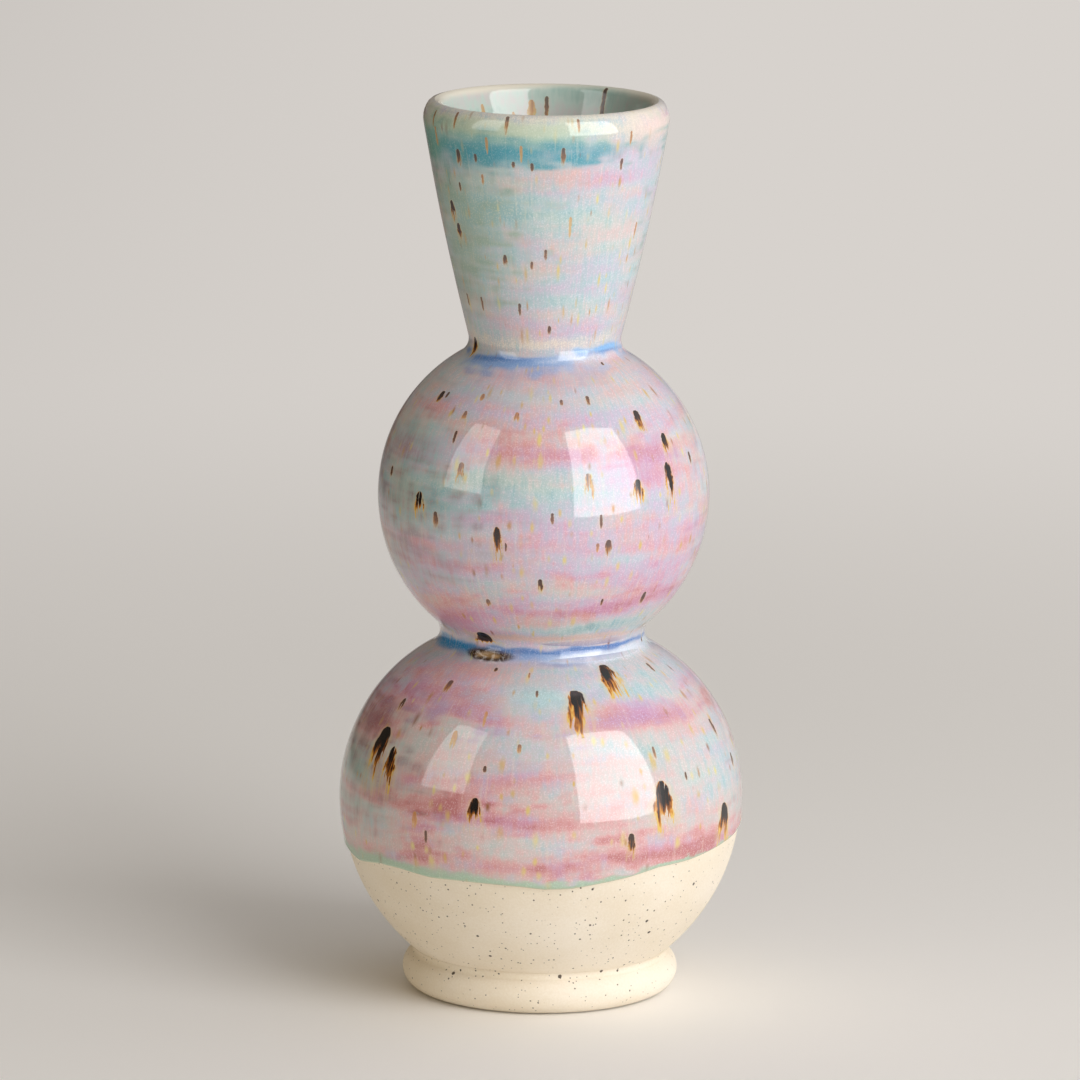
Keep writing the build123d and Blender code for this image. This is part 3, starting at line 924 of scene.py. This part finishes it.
def streaked_glaze():
    """The outer glaze: brushed bands of aqua, lilac and pink with pools, flecks and iron spots."""
    glaze = Finish(bpy.data.materials.new("streaked_glaze"))
    place = glaze.place()
    x, y, z = glaze.parts(place)
    slope = glaze.stored("slope")[1]
    tube_x, tube_y, risen = glaze.parts(slope)
    flow = glaze.joined(x, y, z + glaze.clouds(place, FLOW_SIZES) * 9)
    brush = glaze.clouds(flow, BRUSH_SIZES, 3, 0.55)
    fibre = glaze.clouds(flow, FIBRE_SIZES, 3)
    mottle = glaze.clouds(place, MOTTLE_SIZES, 3, 0.6)
    warmth = glaze.clouds(flow, WARMTH_SIZES, 3)
    rivulet = glaze.clouds(slope, RIVULET_SIZES, 3, 0.6)
    grain = glaze.clouds(place, GRAIN_SIZES, 1, 0.6)

    tone = glaze.stored("tone")[2] + brush * 0.7 + fibre * 0.35 + mottle * 0.4
    tone = tone + rivulet * 0.5 + grain * 0.15 + 0.47
    low = glaze.fade(z, WARM_FROM, WARM_BELOW)
    warm = glaze.fade(warmth + mottle * 0.5 + rivulet * 0.3 + low * 0.14, -0.14, 0.2)
    colour = glaze.blend(glaze.ramp(tone, COOL_TONES), glaze.ramp(tone, WARM_TONES), warm)
    colour = glaze.shade(colour, 1 + rivulet * 0.18 + mottle * 0.16)

    wash, _, _, strength = glaze.stored("wash")
    ragged = (fibre * 0.5 + grain * 0.8 + rivulet * 0.6) * (strength * (1 - strength) * 4)
    colour = glaze.blend(colour, wash, glaze.fade(strength + ragged, 0.08, 0.92))

    trickle = glaze.fade(glaze.clouds(slope, TRICKLE_SIZES, 2), 0.06, 0.28)
    colour = glaze.blend(colour, TRICKLE, trickle * 0.2)
    frost = glaze.fade(grain + rivulet * 0.15, 0.0, 0.24) * (0.3 - strength * 0.14)
    colour = glaze.shade(glaze.blend(colour, FROST, frost), 1 + grain * 0.2)
    clear = 0.95 - strength * 0.7
    elsewhere = glaze.joined(tube_x + 31, tube_y + 17, risen + 5)
    colour = flecks(glaze, slope, colour, SHORT_FLECKS, FLECK_SHARE, clear)
    colour = flecks(glaze, elsewhere, colour, LONG_FLECKS, FLECK_SHARE, clear)
    colour, spotted = with_iron(glaze, colour)
    skin = glaze.clouds(place, SKIN_SIZES, 2) * 0.01 + glaze.clouds(place, PORE_SIZES) * 0.0012
    return glaze.cover({
        "Base Color": colour,
        "Roughness": COAT_ROUGHNESS + spotted * IRON_ROUGHNESS,
        "IOR": GLAZE_INDEX,
        "Normal": glaze.relief(skin - spotted * 0.03),
    })


def lining_glaze():
    """The inner glaze: pale aqua with a little pink and ochre drips."""
    glaze = Finish(bpy.data.materials.new("lining_glaze"))
    place = glaze.place()
    cloud = glaze.clouds(place, LINING_CLOUD_SIZES, 3)
    rivulet = glaze.clouds(place, LINING_RIVULET_SIZES, 2)
    colour = glaze.ramp(cloud * 1.6 + rivulet * 0.5 + 0.42, LINING_TONES)
    z = glaze.parts(place)[2]
    colour = glaze.blend(colour, CREAM, glaze.fade(z + cloud * 3, CREAM_FROM, CREAM_ABOVE))
    colour, spotted = with_iron(glaze, colour)
    return glaze.cover({
        "Base Color": colour,
        "Roughness": LINING_ROUGHNESS + spotted * IRON_ROUGHNESS,
        "IOR": GLAZE_INDEX,
        "Normal": glaze.relief(glaze.clouds(place, SKIN_SIZES) * 0.012),
    })


def speckled_clay(name, pale, deep):
    """Bare fired clay: matt, a little cloudy, with sandy tooth and dark iron specks."""
    clay = Finish(bpy.data.materials.new(name))
    place = clay.place()
    cloud = clay.clouds(place, CLAY_CLOUD_SIZES, 3)
    sand = clay.clouds(place, SAND_SIZES, 2)
    colour = clay.blend(deep, pale, clay.fade(cloud + sand * 0.5, -0.3, 0.3))
    specks = 0
    for size, least, most, missing in SPECKS:
        distance, (chance, width, _) = clay.grains(place, (size, size, size))
        radius = least + width ** 3 * (most - least)
        off_middle = distance * size + sand * 0.2
        speck = clay.fade(off_middle, radius + SPECK_SOFT_OUTSIDE, radius - SPECK_SOFT_INSIDE)
        specks = specks + speck * clay.fade(chance, missing, missing + 0.04)
    specks = specks.at_most(1)
    colour = clay.blend(colour, SPECK_BROWN, specks * 0.9)
    tooth = sand * 0.03 + clay.clouds(place, TOOTH_SIZES) * 0.015
    return clay.cover({
        "Base Color": colour,
        "Roughness": CLAY_ROUGHNESS + sand * 0.2 - specks * 0.2,
        "Specular IOR Level": 0.35,
        "Normal": clay.relief(tooth - specks * 0.02),
    })


# The pieces in their finishes

coat = make_outer_glaze()
coat_outline = outside(GLAZE_THICKNESS, COAT_SPACING, pi / 4)
lay_slope(coat, coat_outline)
lay_streaks(coat)
lay_washes(coat)
lay_iron(coat, IRON_SPOTS + strewn_spots(), coat_outline)
lining = make_lining()
lay_iron(lining, INSIDE_SPOTS, inside(GLAZE_THICKNESS, LINING_SPACING)[:-1])
bead = make_slip_bead()

bare_clay = speckled_clay("speckled_stoneware", STONEWARE_PALE, STONEWARE_DEEP)
wiped_slip = speckled_clay("wiped_slip", SLIP_PALE, SLIP_DEEP)
for piece, node, slot, finish in (
    (coat, "outer_glaze", "outer_glaze", streaked_glaze()),
    (lining, "inner_glaze", "inner_glaze", lining_glaze()),
    (bead, "foot_slip", "slip", wiped_slip),
):
    piece.data.materials.append(finish)
    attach(piece, "root")
    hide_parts(node)
for nodes, finish in (
    (("foot_ring", "lower_bulb", "upper_bulb", "flared_neck"), bare_clay),
    (("lower_waist_slip", "upper_waist_slip"), wiped_slip),
):
    for node in nodes:
        for material_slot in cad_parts[node].material_slots:
            material_slot.material = finish

# Floor, camera and lights

FLOOR_SIZE = 12
FLOOR_COLOUR = (0.92, 0.9, 0.87, 1)
# Painted shade in the far floor's glow: darker on the left than on the right, and dark brown on the left
# where the glaze reflects it
FLOOR_SHADED_LEFT = "a8a39e"
FLOOR_LIT_RIGHT = "d7d2cd"
FLOOR_SHADE_IN_GLAZE = "40332a"

# The floor evens out between two distances from the vase in metres, as seen and as reflected
EVENED_SEEN = (0.15, 0.8)
EVENED_REFLECTED = (0.2, 0.9)

bpy.ops.mesh.primitive_plane_add(size=FLOOR_SIZE)
floor = bpy.context.object
floor.name = "floor"


def pale_floor():
    """A pale matt floor that keeps the shadow near the vase and evens out far from it, into a glow with
    painted shade on its left, darker still where the glaze reflects it.
    """
    paint = Finish(bpy.data.materials.new("pale_floor"))
    x, y, _ = paint.parts(paint.place())
    away = ((x ** 2 + y ** 2) ** 0.5) * MM
    seen, _, _, glossy, *_ = paint.node("LightPath", {}, {})
    evened = paint.fade(away, *EVENED_SEEN) * seen + paint.fade(away, *EVENED_REFLECTED) * glossy
    paint.cover({"Base Color": FLOOR_COLOUR, "Roughness": 0.6, "Specular IOR Level": 0.1})
    # Painted shade: the glow darkens towards the left, and much more in the glaze's reflections
    left = paint.blend(FLOOR_SHADED_LEFT, FLOOR_SHADE_IN_GLAZE, glossy)
    shaded_sides = paint.blend(left, FLOOR_LIT_RIGHT, paint.fade(x * MM - glossy * 0.35, -0.9, 0.1))
    glow = paint.node("Emission", {}, {"Color": shaded_sides, "Strength": 1})[0]
    lit = Wire(paint, paint.surface.outputs[0])
    mixed = paint.node("MixShader", {}, {0: evened, 1: lit, 2: glow})[0]
    paint.connect(paint.tree.nodes["Material Output"].inputs["Surface"], mixed)
    return paint.owner


floor.data.materials.append(pale_floor())

CAMERA_DISTANCE = 1800 * MM
CAMERA_ELEVATION = radians(11.38)
CAMERA_ROLL = radians(0.47)
AIM = Vector((-0.73, 0, 103.85)) * MM
FOCAL_PIXELS = 7910.5
PHOTO_PIXELS = 1080
SENSOR_MM = 36

view_way = Vector((0, cos(CAMERA_ELEVATION), -sin(CAMERA_ELEVATION)))
bpy.ops.object.camera_add(location=AIM - view_way * CAMERA_DISTANCE)
camera = bpy.context.object
camera.data.sensor_width = SENSOR_MM
camera.data.lens = FOCAL_PIXELS / PHOTO_PIXELS * SENSOR_MM
camera.data.clip_end = 20
looking = view_way.to_track_quat("-Z", "Y")
roll = Euler((0, 0, CAMERA_ROLL)).to_quaternion()
camera.rotation_euler = (looking @ roll).to_euler()
bpy.context.scene.camera = camera


def softbox(name, bearing, along, middle, width, height, power, colour):
    """An upright soft panel, square to a bearing a metre off, moved along itself; middle is its height."""
    away = Vector((sin(radians(bearing)), -cos(radians(bearing)), 0))
    aside = Vector((cos(radians(bearing)), sin(radians(bearing)), 0))
    bpy.ops.object.light_add(type="AREA", location=away + aside * along + Vector((0, 0, middle)))
    lamp = bpy.context.object
    lamp.name = name
    lamp.rotation_euler = (-away).to_track_quat("-Z", "Y").to_euler()
    lamp.data.shape = "RECTANGLE"
    lamp.data.size = width
    lamp.data.size_y = height
    lamp.data.energy = power
    lamp.data.color = colour
    return lamp


softbox(
    "key_light", bearing=30, along=0.33, middle=0.71, width=0.95, height=1.38, power=14,
    colour=(1, 0.99, 0.99),
)

# The left panel shows only as a gleam in the glaze, and the low fill shows in no reflection
gleam = softbox(
    "gleam_light", bearing=-45, along=-0.26, middle=0.77, width=0.55, height=1.06, power=3.2,
    colour=(1, 0.99, 0.98),
)
gleam.visible_diffuse = False
low_fill = softbox(
    "low_fill_light", bearing=-58, along=0, middle=0.13, width=0.8, height=0.26, power=1.6,
    colour=(1, 0.86, 0.6),
)
low_fill.visible_glossy = False

WORLD_TONES = [(0.1, "3f2d1a"), (0.5, "807a72"), (0.95, "e2e0de")]


def studio_world():
    """Soft light from all round, dim and warm on the left, bright and neutral on the right."""
    world = Finish(bpy.data.worlds.new("studio"), "Background")
    x, _, z = world.parts(world.node("TexCoord", {}, {})[0])
    return world.cover({"Color": world.ramp(x * 0.4 + z * 0.2 + 0.5, WORLD_TONES)})


bpy.context.scene.world = studio_world()
bpy.context.scene.view_settings.view_transform = "Standard"
